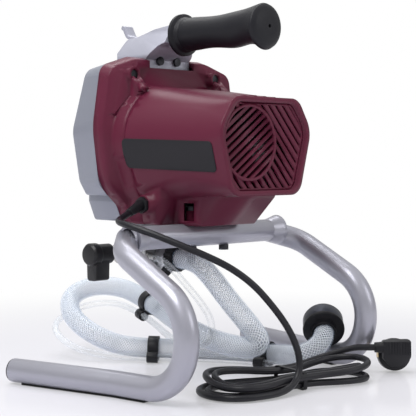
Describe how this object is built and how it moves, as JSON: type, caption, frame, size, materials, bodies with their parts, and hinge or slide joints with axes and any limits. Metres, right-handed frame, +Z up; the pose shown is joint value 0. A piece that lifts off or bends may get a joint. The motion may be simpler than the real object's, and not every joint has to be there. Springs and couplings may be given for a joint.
{
  "type": "airless paint sprayer",
  "caption": "Electric airless paint sprayer on a bent tube stand, with a carry grip, piston pump, braided suction hose and strainer, clear return tube and a tied power cord with a plug.",
  "frame": {"origin": "on the floor under the middle of the machine, measured without its cord and hoses", "axes": "+Z up, +Y towards the motor's vented end, -Y towards the pump and controls, +X towards the side with the prime valve and the cord's gland"},
  "size_m": [0.3916, 0.4093, 0.405],
  "materials": {
    "stand_paint": "silver-grey powder coat, satin",
    "maroon_plastic": "semi-gloss moulded burgundy plastic with a fine grain",
    "cover_grey": "light metallic grey paint, satin",
    "bracket_grey": "light metallic grey paint over a casting",
    "cast_aluminium": "as cast, machined faces",
    "label_grey": "dark grey satin plate, bare",
    "grip_rubber": "black moulded rubber, satin",
    "foot_rubber": "black rubber",
    "cord_rubber": "black cord sheath",
    "black_plastic": "black moulded plastic, satin",
    "control_plastic": "black moulded controls",
    "hose_pvc": "clear pale blue PVC with white braid",
    "return_pvc": "clear tube",
    "steel": "bright steel",
    "gear_steel": "oiled hardened steel",
    "lamination": "stacked steel sheets",
    "copper": "enamelled copper wire and bars",
    "brass": "turned brass, plated",
    "carbon": "carbon block",
    "seal": "packing rings",
    "board_green": "circuit board"
  },
  "bodies": {
    "frame": {"bearings": "steel", "brush_bridge": "black_plastic", "cable_gland": "black_plastic", "carbon_brushes": "carbon", "cluster_pin": "steel", "control_board": "board_green", "cord_tie": "black_plastic", "cross_tube": "stand_paint", "cylinder_sleeve": "steel", "field_coils": "copper", "foot_strips": "foot_rubber", "front_cover": "cover_grey", "gear_plate": "cast_aluminium", "grip": "grip_rubber", "handle_bracket": "bracket_grey", "hose_clips": "black_plastic", "housing_flange": "maroon_plastic", "housing_screws": "steel", "inlet_fitting": "steel", "inlet_nut": "steel", "inlet_wing_nut": "black_plastic", "label_plate": "label_grey", "motor_housing": "maroon_plastic", "packing_nut": "steel", "piston_seals": "seal", "plug_contacts": "brass", "power_hank": "cord_rubber", "power_lead": "cord_rubber", "power_plug": "black_plastic", "prime_valve_bonnet": "brass", "pump_block": "cast_aluminium", "pump_bolts": "steel", "pump_nipples": "brass", "pump_valves": "steel", "return_tube": "return_pvc", "stand_tube_left": "stand_paint", "stand_tube_right": "stand_paint", "stator_core": "lamination", "strainer_cap": "black_plastic", "strainer_mesh": "steel", "suction_hose": "hose_pvc", "switch_frame": "control_plastic", "tube_plugs": "black_plastic", "vent_grille": "maroon_plastic", "weld_beads": "stand_paint"},
    "armature": {"armature_shaft": "steel", "armature_core": "lamination", "commutator": "copper", "cooling_fan": "black_plastic"},
    "cluster": {"cluster_gear": "gear_steel"},
    "crank": {"crankshaft": "steel", "crank_gear": "gear_steel"},
    "piston": {"piston": "steel", "wrist_pin": "steel"},
    "connecting_rod": {"connecting_rod": "steel", "crank_pin": "steel"},
    "prime_valve": {"prime_knob": "control_plastic", "prime_valve_stem": "steel"},
    "pressure_control": {"pressure_knob": "control_plastic"},
    "rocker": {"switch_rocker": "control_plastic"}
  },
  "joints": [
    {"name": "armature_spin", "type": "hinge", "parent": "frame", "child": "armature", "pos_m": [0, 0, 0.254], "axis": [0, 1, 0], "continuous": true},
    {"name": "cluster_spin", "type": "hinge", "parent": "frame", "child": "cluster", "pos_m": [0.03298, -0.055, 0.24682], "axis": [0, 1, 0], "continuous": true},
    {"name": "crank_spin", "type": "hinge", "parent": "frame", "child": "crank", "pos_m": [0, -0.055, 0.226], "axis": [0, 1, 0], "continuous": true},
    {"name": "piston_slide", "type": "slide", "parent": "frame", "child": "piston", "axis": [0, 0, 1], "range_m": [-0.014, 0]},
    {"name": "conrod_swing", "type": "hinge", "parent": "piston", "child": "connecting_rod", "pos_m": [0, -0.084, 0.197], "axis": [0, 1, 0], "range_deg": [-11.2, 11.2]},
    {"name": "prime_valve_turn", "type": "hinge", "parent": "frame", "child": "prime_valve", "pos_m": [0.06, -0.098, 0.132], "axis": [1, 0, 0], "range_deg": [0, 90]},
    {"name": "pressure_turn", "type": "hinge", "parent": "frame", "child": "pressure_control", "pos_m": [0.048, -0.125, 0.262], "axis": [0, 1, 0], "range_deg": [0, 270]},
    {"name": "switch_rock", "type": "hinge", "parent": "frame", "child": "rocker", "pos_m": [-0.048, -0.11, 0.262], "axis": [1, 0, 0], "range_deg": [-14, 0]}
  ],
  "couplings": [
    {"joint": "cluster_spin", "follows": "armature_spin", "ratio": -0.2},
    {"joint": "crank_spin", "follows": "armature_spin", "ratio": 0.06}
  ]
}
